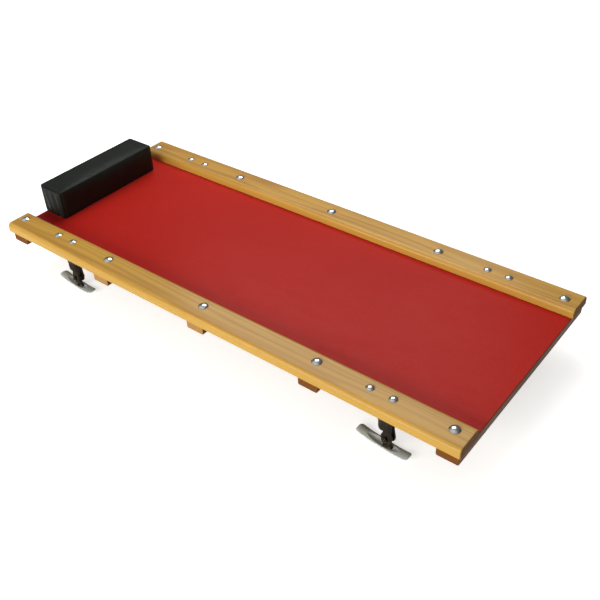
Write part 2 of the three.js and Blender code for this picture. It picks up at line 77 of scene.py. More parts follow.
# ---------- shader nodes ----------
class Graph:
    """The nodes of one material or world, with short calls for the textures and sums this script uses."""

    def __init__(self, owner):
        owner.use_nodes = True
        self.owner = owner
        self.tree = owner.node_tree

    def feed(self, socket, value):
        if isinstance(value, bpy.types.NodeSocket):
            self.tree.links.new(value, socket)
        else:
            socket.default_value = value

    def node(self, kind, inputs, **settings):
        node = self.tree.nodes.new(kind)
        for key, value in settings.items():
            setattr(node, key, value)
        for key, value in inputs.items():
            self.feed(node.inputs[key], value)
        return node

    def finish(self, **inputs):
        """Feeds the surface shader. An underscore in a name stands for a space."""
        shader = self.tree.nodes["Principled BSDF"]
        for key, value in inputs.items():
            self.feed(shader.inputs[key.replace("_", " ")], value)
        return self.owner

    def place(self):
        return self.node("ShaderNodeTexCoord", {}).outputs["Object"]

    def facing(self):
        return self.node("ShaderNodeTexCoord", {}).outputs["Normal"]

    def mapped(self, vector, scale=(1, 1, 1), turn=(0, 0, 0), shift=(0, 0, 0)):
        inputs = {"Vector": vector, "Scale": scale, "Rotation": turn, "Location": shift}
        return self.node("ShaderNodeMapping", inputs).outputs["Vector"]

    def axis(self, vector, letter):
        return self.node("ShaderNodeSeparateXYZ", {"Vector": vector}).outputs[letter]

    def noise(self, vector, scale, detail=3.0, roughness=0.5):
        inputs = {"Vector": vector, "Scale": scale, "Detail": detail, "Roughness": roughness}
        return self.node("ShaderNodeTexNoise", inputs).outputs["Fac"]

    def cells(self, vector, scale, feature="F1"):
        inputs = {"Vector": vector, "Scale": scale}
        return self.node("ShaderNodeTexVoronoi", inputs, feature=feature).outputs["Distance"]

    def calc(self, operation, a, b=0.0, clamp=False):
        inputs = {0: a, 1: b}
        return self.node("ShaderNodeMath", inputs, operation=operation, use_clamp=clamp).outputs[0]

    def times(self, a, b, clamp=False):
        return self.calc("MULTIPLY", a, b, clamp)

    def plus(self, a, b, clamp=False):
        return self.calc("ADD", a, b, clamp)

    def weighted(self, *layers):
        """The sum of the layers' values, each times its weight."""
        total = None
        for weight, value in layers:
            part = self.times(value, weight)
            total = part if total is None else self.plus(total, part)
        return total

    def wave(self, value, pitch):
        """A sine wave, one turn a pitch in metres."""
        return self.calc("SINE", self.times(value, 2 * math.pi / pitch))

    def length(self, vector):
        inputs = {0: vector}
        return self.node("ShaderNodeVectorMath", inputs, operation="LENGTH").outputs["Value"]

    def span(self, value, low, high, to_low=0.0, to_high=1.0):
        """Maps low..high to to_low..to_high and holds the ends."""
        inputs = {"Value": value, "From Min": low, "From Max": high, "To Min": to_low, "To Max": to_high}
        return self.node("ShaderNodeMapRange", inputs).outputs["Result"]

    def mix(self, factor, a, b, blend="MIX"):
        node = self.tree.nodes.new("ShaderNodeMix")
        node.data_type = "RGBA"
        node.blend_type = blend
        self.feed(node.inputs["Factor"], factor)
        self.feed(node.inputs[6], a)
        self.feed(node.inputs[7], b)
        return node.outputs[2]

    def bump(self, height, depth, under=None):
        """A bump whose height of 1 stands depth millimetres proud."""
        inputs = {"Height": height, "Distance": depth * MM, "Strength": 1.0}
        if under is not None:
            inputs["Normal"] = under
        return self.node("ShaderNodeBump", inputs).outputs["Normal"]

    def edges(self, radius, sharpness=3.0):
        """About 1 on outer and inner edges within radius millimetres, and 0 on open faces."""
        inputs = {"Radius": radius * MM}
        rounded = self.node("ShaderNodeBevel", inputs, samples=4).outputs["Normal"]
        true = self.node("ShaderNodeNewGeometry", {}).outputs["Normal"]
        inputs = {0: rounded, 1: true}
        match = self.node("ShaderNodeVectorMath", inputs, operation="DOT_PRODUCT").outputs["Value"]
        return self.times(self.calc("SUBTRACT", 1.0, match), sharpness, clamp=True)


def srgb(red, green, blue):
    """A display colour of 0 to 255 as a linear shader colour."""
    def linear(value):
        share = value / 255
        return share / 12.92 if share <= 0.04045 else ((share + 0.055) / 1.055) ** 2.4
    return (linear(red), linear(green), linear(blue), 1.0)


# ---------- materials ----------
RING_STEP = 3.4 * MM  # from one growth ring to the next
RING_DRIFT = 16 * MM  # how far the rings wander
FINE_GRAIN = (9, 280, 280)  # this noise and the next two in cells per metre, along and across a board
PORES = (30, 460, 460)
SAWN_END = (300, 1800, 1800)
SCREEN_PITCH = 1.6 * MM  # of the mesh pressed into the hardboard's underside
PLY_PITCH = 2.4 * MM  # two plies of the plywood


def along_board(graph, node, along):
    """Places from the board's middle and facings, with X turned along the board, and a seed."""
    low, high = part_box(node)
    middle = (low + high) / 2
    turn = (0, 0, 0) if along == "X" else (0, 0, -math.pi / 2)
    centred = graph.mapped(graph.place(), shift=tuple(-middle))
    board = graph.mapped(centred, turn=turn)
    return board, graph.mapped(graph.facing(), turn=turn), 7.3 * middle.x + 3.1 * middle.y


def board_wood(name, node, pale, dark, side, end, pith, gloss, along="X"):
    """Planed wood: growth rings round a pith line, streaks and pores, painted light and shade on sides,
    another tone on ends.

    The pith line is given as y and z in millimetres from the board's middle.
    """
    graph = Graph(bpy.data.materials.new(name))
    board, facing, seed = along_board(graph, node, along)
    streaked = graph.mapped(board, scale=(0.9, 14, 14), shift=(seed, seed, 0))
    drift = graph.noise(streaked, 1.6, detail=2)
    from_pith = graph.mapped(board, scale=(0, 1, 1), shift=(0, pith[0] * MM, pith[1] * MM))
    radius = graph.plus(graph.length(from_pith), graph.times(drift, RING_DRIFT))
    rings = graph.span(graph.wave(radius, RING_STEP), -0.2, 1.0)
    broad = graph.span(graph.noise(streaked, 3.2, detail=3), 0.32, 0.68)
    fine = graph.span(graph.noise(graph.mapped(board, scale=FINE_GRAIN), 1.0, detail=3), 0.35, 0.7)
    slanted = graph.mapped(board, scale=PORES, turn=(0.5, 0, 0))
    pores = graph.span(graph.noise(slanted, 1.0, detail=2), 0.58, 0.74)
    clouds = graph.span(graph.noise(graph.mapped(board, scale=(4, 9, 9)), 1.0, detail=2), 0.3, 0.7)

    # the planed faces, with painted light and shade on the sides: a tone chosen by facing
    shade = graph.weighted((0.34, rings), (0.42, broad), (0.15, fine), (0.12, pores))
    shade = graph.calc("SUBTRACT", shade, 0.08, clamp=True)
    face = graph.mix(shade, pale, dark)
    tint = graph.mix(graph.times(clouds, 0.35), face, srgb(196, 168, 96), blend="OVERLAY")
    face = graph.mix(0.35, face, tint)
    on_side = graph.span(graph.calc("ABSOLUTE", graph.axis(facing, "Y")), 0.5, 0.9, 0.0, 0.55)
    face = graph.mix(on_side, face, side)

    # the sawn ends, unvarnished
    on_end = graph.span(graph.calc("ABSOLUTE", graph.axis(facing, "X")), 0.55, 0.8)
    speckle = graph.noise(graph.mapped(board, scale=SAWN_END), 1.0, detail=2)
    end_shade = graph.plus(graph.times(rings, 0.6), graph.span(speckle, 0.4, 0.8))
    end_dark = tuple(0.45 * value for value in end[:3]) + (1.0,)
    end_face = graph.mix(graph.times(end_shade, 0.6, clamp=True), end, end_dark)

    # the rubbed edges, lightened also as a painted highlight along them
    worn = graph.times(graph.edges(1.6), graph.span(clouds, 0, 1, 0.25, 0.6))
    worn_and_highlight_colour = graph.mix(0.5, pale, srgb(255, 226, 176))
    colour = graph.mix(worn, graph.mix(on_end, face, end_face), worn_and_highlight_colour)

    grain = graph.bump(graph.weighted((0.5, fine), (-1.0, pores)), 0.02)
    flow = graph.noise(graph.mapped(board, scale=(30, 90, 90)), 1.0, detail=1)
    sheen = 0.10 + 0.6 * gloss
    return graph.finish(
        Base_Color=colour, Normal=grain,
        Roughness=graph.plus(graph.span(broad, 0, 1, 0.40, 0.50), graph.times(on_end, 0.25)),
        Specular_IOR_Level=graph.span(on_end, 0, 1, sheen, 0.4 * sheen),
        Coat_Weight=graph.span(on_end, 0, 1, gloss, 0.0),
        Coat_Roughness=graph.span(clouds, 0, 1, 0.12, 0.24), Coat_Normal=graph.bump(flow, 0.06),
    )


def red_hardboard():
    """Painted hardboard: satin red above, raw brown board on its edges and screen-backed below."""
    graph = Graph(bpy.data.materials.new("red_paint_on_hardboard"))
    place = graph.place()
    facing = graph.facing()
    cloud = graph.noise(graph.mapped(place, scale=(3, 3, 3)), 1.0, detail=3)
    mottle = graph.noise(place, 160, detail=2)
    red = graph.mix(graph.span(cloud, 0.3, 0.7), srgb(178, 34, 28), srgb(187, 41, 33))
    red = graph.mix(graph.times(graph.span(mottle, 0.4, 0.75), 0.25), red, srgb(162, 25, 20))
    fibre = graph.noise(graph.mapped(place, scale=(500, 500, 2500)), 1.0, detail=3)
    raw = graph.mix(graph.span(fibre, 0.3, 0.7), srgb(128, 82, 52), srgb(82, 50, 32))
    top = graph.span(graph.axis(facing, "Z"), 0.4, 0.8)
    chipped = graph.times(graph.edges(0.9), graph.span(mottle, 0.5, 0.62))
    painted = graph.calc("SUBTRACT", top, graph.times(chipped, 0.7), clamp=True)
    peel = graph.bump(graph.noise(place, 420, detail=2), 0.018)
    sag = graph.bump(graph.noise(place, 22, detail=1), 0.12, under=peel)
    mesh_x, mesh_y = (graph.wave(graph.axis(place, letter), SCREEN_PITCH) for letter in "XY")
    under = graph.span(graph.axis(facing, "Z"), -0.4, -0.8)
    screen = graph.times(graph.times(mesh_x, mesh_y), under)
    normal = graph.bump(screen, 0.12, under=sag)
    smeared = graph.mapped(place, scale=(14, 60, 1), turn=(0, 0, 0.4))
    scuffs = graph.noise(smeared, 1.0, detail=5, roughness=0.7)
    satin = graph.plus(0.30, graph.times(graph.span(scuffs, 0.45, 0.8), 0.16))
    rough = graph.span(painted, 0, 1, 0.75, 0.0)
    return graph.finish(
        Base_Color=graph.mix(painted, raw, red), Roughness=graph.plus(satin, rough, clamp=True),
        Normal=normal, Specular_IOR_Level=0.05,
    )


def black_vinyl():
    """Upholstery vinyl: a fine pebbled grain that breaks up the sheen, paler where it is stretched."""
    graph = Graph(bpy.data.materials.new("black_vinyl_cloth"))
    place = graph.place()
    warp = graph.noise(place, 260, detail=2)
    pebbles = graph.cells(place, 780, feature="DISTANCE_TO_EDGE")
    valleys = graph.span(pebbles, 0.0, 0.16)
    fine = graph.cells(place, 2300)
    relief = graph.weighted((0.8, valleys), (0.3, fine), (0.4, warp))
    creases = graph.noise(graph.mapped(place, scale=(60, 22, 40)), 1.0, detail=4, roughness=0.6)
    soft = graph.bump(creases, 0.5)
    normal = graph.bump(relief, 0.10, under=soft)
    cloud = graph.noise(place, 30, detail=3)
    black = graph.mix(graph.span(cloud, 0.3, 0.7), srgb(20, 25, 21), srgb(27, 32, 27))
    in_valley = graph.times(graph.calc("SUBTRACT", 1.0, valleys), 0.6)
    black = graph.mix(in_valley, black, srgb(11, 10, 9))
    rubbed = graph.times(graph.edges(3.0, sharpness=2.0), 0.35)
    black = graph.mix(rubbed, black, srgb(44, 42, 39))
    rough = graph.plus(0.40, graph.times(graph.span(cloud, 0.3, 0.7), 0.12))
    return graph.finish(Base_Color=black, Roughness=rough, Normal=normal, Specular_IOR_Level=0.18)


def thread():
    """Waxed black thread with a tight twist."""
    graph = Graph(bpy.data.materials.new("waxed_thread"))
    place = graph.place()
    twist = graph.noise(graph.mapped(place, scale=(3000, 3000, 3000)), 1.0, detail=2)
    colour = graph.mix(twist, srgb(26, 25, 24), srgb(52, 50, 48))
    return graph.finish(Base_Color=colour, Roughness=0.6, Normal=graph.bump(twist, 0.05))


def metal(name, colour, stain, rough, scratch, worn, relief=0.02, metallic=1.0):
    """Plated or blacked steel: cloudy finish, hairline scratches and edges rubbed to a brighter tone."""
    graph = Graph(bpy.data.materials.new(name))
    place = graph.place()
    cloud = graph.span(graph.noise(place, 120, detail=3), 0.3, 0.7)
    grain = graph.noise(place, 900, detail=3)
    hairs = graph.noise(graph.mapped(place, scale=(90, 4200, 900), turn=(0.3, 0.2, 0.5)), 1.0, detail=2)
    hairs = graph.span(hairs, 0.58, 0.72)
    tone = graph.mix(graph.times(cloud, 0.6), colour, stain)
    tone = graph.mix(graph.times(graph.edges(0.6), 0.5), tone, worn)
    roughness = graph.plus(rough, graph.times(hairs, scratch))
    roughness = graph.plus(roughness, graph.times(cloud, 0.4 * rough))
    normal = graph.bump(graph.calc("SUBTRACT", grain, graph.times(hairs, 0.3)), relief)
    return graph.finish(Base_Color=tone, Metallic=metallic, Roughness=roughness, Normal=normal)


def raw_plywood():
    """Thin plies of alternating tone, with a faint grain along the board."""
    graph = Graph(bpy.data.materials.new("raw_plywood"))
    place = graph.place()
    ply = graph.wave(graph.axis(place, "Z"), PLY_PITCH)
    grain = graph.noise(graph.mapped(place, scale=(400, 12, 400)), 1.0, detail=3)
    tone = graph.plus(graph.span(ply, -0.2, 0.2, 0, 0.5), graph.times(grain, 0.5))
    colour = graph.mix(tone, srgb(196, 160, 108), srgb(142, 104, 66))
    return graph.finish(Base_Color=colour, Roughness=0.8, Normal=graph.bump(grain, 0.08))


def pale_floor():
    """A matt floor that glows white to the camera and to mirrors, so that only deep shadows show on it."""
    graph = Graph(bpy.data.materials.new("studio_floor"))
    cloud = graph.noise(graph.place(), 3, detail=2)
    colour = graph.mix(cloud, srgb(244, 244, 243), srgb(247, 247, 247))
    ray = graph.node("ShaderNodeLightPath", {})
    glow = graph.weighted((0.62, ray.outputs["Is Camera Ray"]), (0.25, ray.outputs["Is Glossy Ray"]))
    return graph.finish(
        Base_Color=colour, Roughness=0.9, Specular_IOR_Level=0.1, Emission_Color=srgb(255, 255, 255),
        Emission_Strength=glow,
    )


ZINC = metal("zinc_plate", srgb(202, 204, 202), srgb(180, 183, 181), 0.11, 0.22, srgb(232, 232, 228))
CHROME = metal(
    "satin_chrome", srgb(226, 232, 230), srgb(212, 220, 218), 0.28, 0.16, srgb(236, 240, 236),
    relief=0.006, metallic=0.35
)
BLACK_STEEL = metal(
    "blacked_steel_finish", srgb(64, 56, 48), srgb(42, 39, 36), 0.34, 0.2, srgb(120, 112, 104), relief=0.05
)
VINYL = black_vinyl()
THREAD = thread()


# ---------- meshes ----------
class Shape:
    """Points and faces of one closed mesh or several, in millimetres."""

    def __init__(self):
        self.points = []
        self.faces = []

    def loft(self, rings, loop=False):
        """Skins rings of equal point counts. The ends are capped, or joined where the rings make a loop."""
        count = len(rings[0])
        start = len(self.points)
        for ring in rings:
            self.points.extend(ring)
        for i in range(len(rings) if loop else len(rings) - 1):
            here = start + i * count
            there = start + (i + 1) % len(rings) * count
            for k in range(count):
                after = (k + 1) % count
                self.faces.append((here + k, here + after, there + after, there + k))
        if not loop:
            self.faces.append(tuple(range(start + count - 1, start - 1, -1)))
            end = start + (len(rings) - 1) * count
            self.faces.append(tuple(range(end, end + count)))
        return self


def circle(radius, height, axis="Z", centre=(0, 0), sides=ROUND):
    """A ring of points round an axis. Along Y the centre is given as x and z."""
    points = []
    for k in range(sides):
        angle = 2 * math.pi * k / sides
        u = centre[0] + radius * math.cos(angle)
        v = centre[1] + radius * math.sin(angle)
        points.append((u, v, height) if axis == "Z" else (u, height, v))
    return points


def squircle(half_x, half_y, height, power=4, centre_x=0.0, sides=ROUND):
    """A ring between an ellipse (power 2) and a rectangle (a high power)."""
    points = []
    for k in range(sides):
        angle = 2 * math.pi * (k + 0.5) / sides
        cosine, sine = math.cos(angle), math.sin(angle)
        u = math.copysign(abs(cosine) ** (2 / power), cosine)
        v = math.copysign(abs(sine) ** (2 / power), sine)
        points.append((centre_x + half_x * u, half_y * v, height))
    return points


def smooth_step(values, low, high):
    """0 up to low, 1 from high on and an even S between, for a number or an array."""
    share = np.clip((values - low) / (high - low), 0, 1)
    return share * share * (3 - 2 * share)


def turned(profile, **where):
    return [circle(radius, height, **where) for radius, height in profile]


def hexagon(flats, low, high):
    """A hexagon nut or head as rings, with the chamfer of a turned blank on both faces."""
    apothem = flats / 2
    chamfer_from = 0.95 * apothem
    slope = math.tan(math.radians(30))
    rings = [[], [], [], []]
    sides = 48
    for k in range(sides):
        angle = 2 * math.pi * k / sides
        reach = apothem / math.cos((angle + math.pi / 6) % (math.pi / 3) - math.pi / 6)
        drop = (reach - chamfer_from) * slope
        steps = ((chamfer_from, low), (reach, low + drop), (reach, high - drop), (chamfer_from, high))
        for ring, (radius, height) in zip(rings, steps):
            ring.append((radius * math.cos(angle), radius * math.sin(angle), height))
    return rings


def threaded(radius, low, high):
    """A threaded bar as rings: one crest and one root a pitch, with a chamfered tip at the low end."""
    profile = [(0.75 * radius, low), (0.9 * radius, low + 0.4)]
    height = low + 0.8
    while height + THREAD_PITCH < high:
        profile += [(radius, height), (0.86 * radius, height + THREAD_PITCH / 2)]
        height += THREAD_PITCH
    return turned(profile + [(radius, high)])


def add_piece(name, shape, material, body=PLATFORM, nodes=(), place=None, crisp=35):
    """Makes a piece from a shape in millimetres, puts it in place and lets it ride on its body."""
    mesh = bpy.data.meshes.new(name)
    mesh.from_pydata([Vector(point) * MM for point in shape.points], [], shape.faces)
    mesh.transform(place or Matrix())
    work = bmesh.new()
    work.from_mesh(mesh)
    bmesh.ops.recalc_face_normals(work, faces=work.faces)
    work.to_mesh(mesh)
    work.free()
    mesh.shade_smooth()
    mesh.set_sharp_from_angle(angle=math.radians(crisp))
    show(name, mesh, material, body, nodes)


def show(name, mesh, material, body, nodes=()):
    """Shows a mesh as a piece that rides on its body, in place of the CAD nodes it replaces."""
    mesh.materials.clear()
    mesh.materials.append(material)
    piece = bpy.data.objects.new(name, mesh)
    bpy.context.scene.collection.objects.link(piece)
    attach(piece, body)
    if nodes:
        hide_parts(*nodes)
    return piece


def dress(node, material, bevel=0.3):
    """Keeps a CAD node: its own mesh with edges softened by bevel millimetres and a new material."""
    piece = frame["nodes"][node]
    mesh = piece.data
    if "custom_normal" in mesh.attributes:
        mesh.attributes.remove(mesh.attributes["custom_normal"])
    mesh.shade_smooth()
    mesh.materials.clear()
    mesh.materials.append(material)
    weld = piece.modifiers.new("weld", "WELD")
    weld.merge_threshold = 0.01 * MM
    flats = piece.modifiers.new("flats", "DECIMATE")
    flats.decimate_type = "DISSOLVE"
    flats.angle_limit = math.radians(0.5)
    edges = piece.modifiers.new("edges", "BEVEL")
    edges.width = bevel * MM
    edges.segments = 2
    edges.limit_method = "ANGLE"
    edges.angle_limit = math.radians(32)
    normals = piece.modifiers.new("normals", "WEIGHTED_NORMAL")
    normals.weight = 50


# ---------- wooden platform ----------
def rails():
    pale = {"right": srgb(202, 157, 66), "left": srgb(208, 162, 72)}
    dark = {"right": srgb(160, 110, 40), "left": srgb(156, 105, 40)}
    pith = {"right": (14, 42), "left": (-9, 60)}
    # the golden side tone is painted light: the rails' sides brighter and yellower than their tops
    golden_side_painted_light, sawn_end = srgb(204, 162, 70), srgb(134, 98, 66)
    for side in SIDES:
        node = f"rail_{side}"
        tones = (pale[side], dark[side], golden_side_painted_light, sawn_end)
        dress(node, board_wood(f"rail_wood_{side}", node, *tones, pith[side], 0.25), bevel=0.4)


def slats():
    """Five browner boards, of which the second and third have paler ends."""
    # the brown side tone is painted shade: the slats' upright sides darker than their faces
    brown_side_painted_shade, brown_end, pale_end = srgb(104, 68, 42), srgb(130, 80, 38), srgb(186, 140, 84)
    ends = {
        "slat_1_head": brown_end, "slat_2": pale_end, "slat_3": pale_end, "slat_4": brown_end,
        "slat_5_foot": brown_end,
    }
    for i, (node, end) in enumerate(ends.items()):
        tone = 1 - 0.05 * (i % 3)
        pale = srgb(158 * tone, 98 * tone, 44 * tone)
        dark = srgb(108 * tone, 60 * tone, 24 * tone)
        pith = (6 - 4 * i, 30 + 9 * i)
        wood = board_wood(f"wood_{node}", node, pale, dark, brown_side_painted_shade, end, pith, 0.05, along="Y")
        dress(node, wood, bevel=0.4)


def platform():
    rails()
    slats()
    dress("deck_panel", red_hardboard(), bevel=0.25)
    dress("headrest_board", raw_plywood())


# ---------- carriage bolts ----------
def dome(radius, height, seat):
    """The rings of a mushroom head, from its rim up to the crown."""
    rim, steps = 0.5, 9
    sphere = (radius**2 + (height - rim) ** 2) / (2 * (height - rim))
    half_angle = math.asin(radius / sphere)
    profile = [(radius - 0.25, seat), (radius, seat + 0.25), (radius, seat + rim)]
    for i in range(1, steps + 1):
        angle = half_angle * (1 - i / steps)
        profile.append((max(sphere * math.sin(angle), 0.3), seat + height - sphere * (1 - math.cos(angle))))
    return turned(profile)


def carriage_bolt(name, size, clamp, node):
    """A bolt in the rail: domed head, square neck, shank, and washer and nut from the level clamp down."""
    low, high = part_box(node)
    seat = high.z / MM - size["dome"]
    clamp /= MM
    nut_top = clamp - (WASHER_THICKNESS if size["washer"] else 0)
    shape = Shape()
    shape.loft(dome(size["head"], size["dome"], seat))
    half_neck = size["neck"] / 2
    neck_ends = (seat - NECK_DEPTH, seat + OVERLAP)
    shape.loft([squircle(half_neck, half_neck, height, 12) for height in neck_ends])
    shape.loft(turned([(size["shank"], clamp), (size["shank"], seat - 0.8 * NECK_DEPTH)]))
    if size["washer"]:
        outer, ease = size["washer"], 0.3
        profile = [(outer - ease, nut_top), (outer, nut_top + ease)]
        profile += [(outer, clamp - ease), (outer - ease, clamp)]
        shape.loft(turned(profile))
    nut_bottom = nut_top - size["nut"]
    shape.loft(hexagon(size["flats"], nut_bottom, nut_top))
    shape.loft(threaded(size["shank"], low.z / MM, nut_bottom + 0.5))
    place = Matrix.Translation(((low.x + high.x) / 2, (low.y + high.y) / 2, 0))
    add_piece(name, shape, ZINC, nodes=[node], place=place)


def wood_screw(name, node):
    """A round-headed wood screw from below: a recessed head, a shank and a pointed thread."""
    low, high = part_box(node)
    bottom, top = low.z / MM, high.z / MM
    seat = SLAT_BOTTOM / MM
    head = (high.x - low.x) / 2 / MM
    profile = [(0.5, bottom + 0.9), (1.1, bottom + 0.9), (1.5, bottom + 0.05), (0.55 * head, bottom + 0.1)]
    profile += [(0.85 * head, bottom + 0.8), (head, seat - 0.5), (head - 0.2, seat), (1.9, seat)]
    height = seat + 9
    while height < top - 4:
        profile += [(1.55, height), (2.2, height + 0.8)]
        height += 1.6
    profile += [(1.5, top - 3.5), (0.2, top)]
    place = Matrix.Translation(((low.x + high.x) / 2, (low.y + high.y) / 2, 0))
    add_piece(name, Shape().loft(turned(profile)), ZINC, nodes=[node], place=place)


def fasteners():
    plate_clamp = RAIL_BOTTOM - PLATE_THICKNESS * MM
    for side in SIDES:
        for i in range(1, 6):
            carriage_bolt(f"slat_carriage_bolt_{side}_{i}", SLAT_BOLT, SLAT_BOTTOM, f"slat_bolt_{side}_{i}")
        wood_screw(f"cushion_screw_{side}", f"headrest_screw_{side}")
    for corner in CORNERS:
        for i in (1, 2):
            carriage_bolt(
                f"plate_carriage_bolt_{corner}_{i}", PLATE_BOLT, plate_clamp, f"plate_bolt_{corner}_{i}"
            )


# ---------- swivelling feet, in a foot's own axes: kingpin at x 0, shoe trailing along +X ----------
def foot_place(corner):
    kingpin = Vector(JOINTS[f"turn_{corner}"]["pos_m"])
    trail = Vector(JOINTS[f"rock_{corner}"]["pos_m"]) - kingpin
    turn = math.atan2(trail.y, trail.x)
    return Matrix.Translation((kingpin.x, kingpin.y, 0)) @ Matrix.Rotation(turn, 4, "Z")


def trail_length():
    reach = Vector(JOINTS["rock_foot_right"]["pos_m"]) - Vector(JOINTS["turn_foot_right"]["pos_m"])
    return math.hypot(reach.x, reach.y) / MM


TRAIL = trail_length()
KINGPIN_RADIUS = 4
CHEEK_INNER = 3.4  # from the foot's middle plane to a cheek's inner face
CHEEK_THICKNESS = 4
HUB_RADIUS = 10.5  # of the cheeks' round ends
WAIST_HALF = 6.4  # half the cheeks' narrowest width
LUG_HALF = 2.9  # half the width of the shoe's lug


def swivel_cup(shape):
    """A flanged cup with a rolled rim and a round lower end, bored for the kingpin."""
    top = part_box("swivel_fork_foot_right")[1].z / MM
    bore = KINGPIN_RADIUS + 0.4
    profile = [(bore, top), (9.6, top), (10.2, top - 0.3), (10.7, top - 1.2), (10.7, top - 3.4)]
    profile += [(10.1, top - 4.6), (9.3, top - 5.6), (8.9, top - 8), (9, 52)]
    steps = 12
    for i in range(steps + 1):
        angle = math.pi / 2 * i / steps
        profile.append((5 + 4 * math.cos(angle), 44 - 9 * math.sin(angle)))
    profile += [(bore, 35)]
    shape.loft(turned(profile, sides=56), loop=True)


def crown(shape):
    """The plate between cup and cheeks, with round corners and eased edges."""
    rings = []
    for height, inset in ((55.8, 0.9), (56.4, 0.2), (57, 0), (59.2, 0), (59.8, 0.2), (60.2, 0.9)):
        rings.append(squircle(14.5 - inset, 9.1 - inset, height, 3.6, centre_x=5.5, sides=56))
    shape.loft(rings)


def cheek(shape, side):
    """A cast cheek: a narrow waist under the crown, round at the pivot, with three ribs down its face."""
    columns = 36
    rings = []
    heights = [59 - 1.2 * i for i in range(31)]
    heights += [PIVOT_HEIGHT - HUB_RADIUS * math.sin(math.radians(angle)) for angle in range(4, 89, 6)]
    for height in heights:
        if height > PIVOT_HEIGHT:
            half = HUB_RADIUS + (WAIST_HALF - HUB_RADIUS) * smooth_step(height, PIVOT_HEIGHT, 40)
        else:
            half = math.sqrt(HUB_RADIUS**2 - (PIVOT_HEIGHT - height) ** 2)
        middle = TRAIL + 1.2 * smooth_step(height, PIVOT_HEIGHT, 36)
        outer, inner = [], []
        for k in range(columns + 1):
            share = 2 * k / columns - 1
            x = middle + half * share
            from_pivot = math.hypot(x - TRAIL, height - PIVOT_HEIGHT)
            rib = (0.5 + 0.5 * math.cos(3 * math.pi * share)) ** 1.5
            pressed = 1.1 * rib * smooth_step(from_pivot, 6.2, 8.2)
            rounding = 1.4 * abs(share) ** 8
            outer.append((x, side * (CHEEK_INNER + CHEEK_THICKNESS + pressed - rounding), height))
            inner.append((x, side * (CHEEK_INNER + 0.3 * rounding), height))
        rings.append(outer + inner[::-1])
    shape.loft(rings)


def web(shape):
    """The solid part between the cheeks, arched over the lug and clear of the kingpin's head."""
    arch = 8.9
    low, high = 6.4 - TRAIL, 14.9 - TRAIL
    steps = 24
    rings = []
    for k in range(steps + 1):
        u = low + (high - low) * k / steps
        foot = PIVOT_HEIGHT + math.sqrt(arch**2 - u**2)
        x = TRAIL + u
        rings.append([(x, -3.8, foot), (x, 3.8, foot), (x, 3.8, 58), (x, -3.8, 58)])
    shape.loft(rings)


def swivel_fork():
    shape = Shape()
    swivel_cup(shape)
    crown(shape)
    web(shape)
    for side in (-1, 1):
        cheek(shape, side)
    return shape


def pivot_bolt():
    """A hexagon-headed pivot bolt along its own Z, its head at the low end, with a nut and a thread end."""
    face = CHEEK_INNER + CHEEK_THICKNESS + 0.15
    shape = Shape()
    shape.loft(turned([(3, -face - 1), (3, face + 1)]))
    shape.loft(turned([(5.4, -face - 0.5), (5.6, -face - 0.3), (5.6, -face)]))
    shape.loft(hexagon(9, -face - 3.2, -face - 0.4))
    shape.loft(hexagon(9, face, face + 3))
    tip = [(x, y, -z) for x, y, z in sum(threaded(2.9, -face - 4.6, -face - 2.6), [])]
    count = ROUND
    shape.loft([tip[i:i + count] for i in range(0, len(tip), count)])
    return shape


def kingpin():
    """A rivet: a plain shank with a peened head under the cup."""
    top = RAIL_BOTTOM / MM - 0.3
    seat = 34.7
    profile = [(KINGPIN_RADIUS, top), (KINGPIN_RADIUS, seat)]
    profile += [(4.8, seat), (5, seat - 0.3), (4.9, seat - 0.9)]
    steps = 6
    for i in range(1, steps + 1):
        angle = math.pi / 2 * i / steps
        profile.append((0.3 + 4.5 * math.cos(angle), seat - 1 - 1.5 * math.sin(angle)))
    return Shape().loft(turned(profile))


def ball_ring():
    """Eight bearing balls held in a flat pressed cage."""
    low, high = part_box("ball_ring_foot_right")
    level = (low.z + high.z) / 2 / MM
    balls, radius, circle_radius = 8, 2.2, 6.9
    shape = Shape()
    inner, outer = circle_radius - 1, circle_radius + 1
    cage = [(inner, level + 0.6), (outer, level + 0.6), (outer + 0.3, level)]
    cage += [(outer, level - 0.6), (inner, level - 0.6), (inner - 0.3, level)]
    shape.loft(turned(cage), loop=True)
    for i in range(balls):
        angle = 2 * math.pi * i / balls
        middle = (circle_radius * math.cos(angle), circle_radius * math.sin(angle))
        rings = []
        for k in range(11):
            latitude = math.pi * (k / 10 - 0.5)
            across = max(radius * math.cos(latitude), 0.05)
            rings.append(circle(across, level + radius * math.sin(latitude), centre=middle, sides=18))
        shape.loft(rings)
    return shape


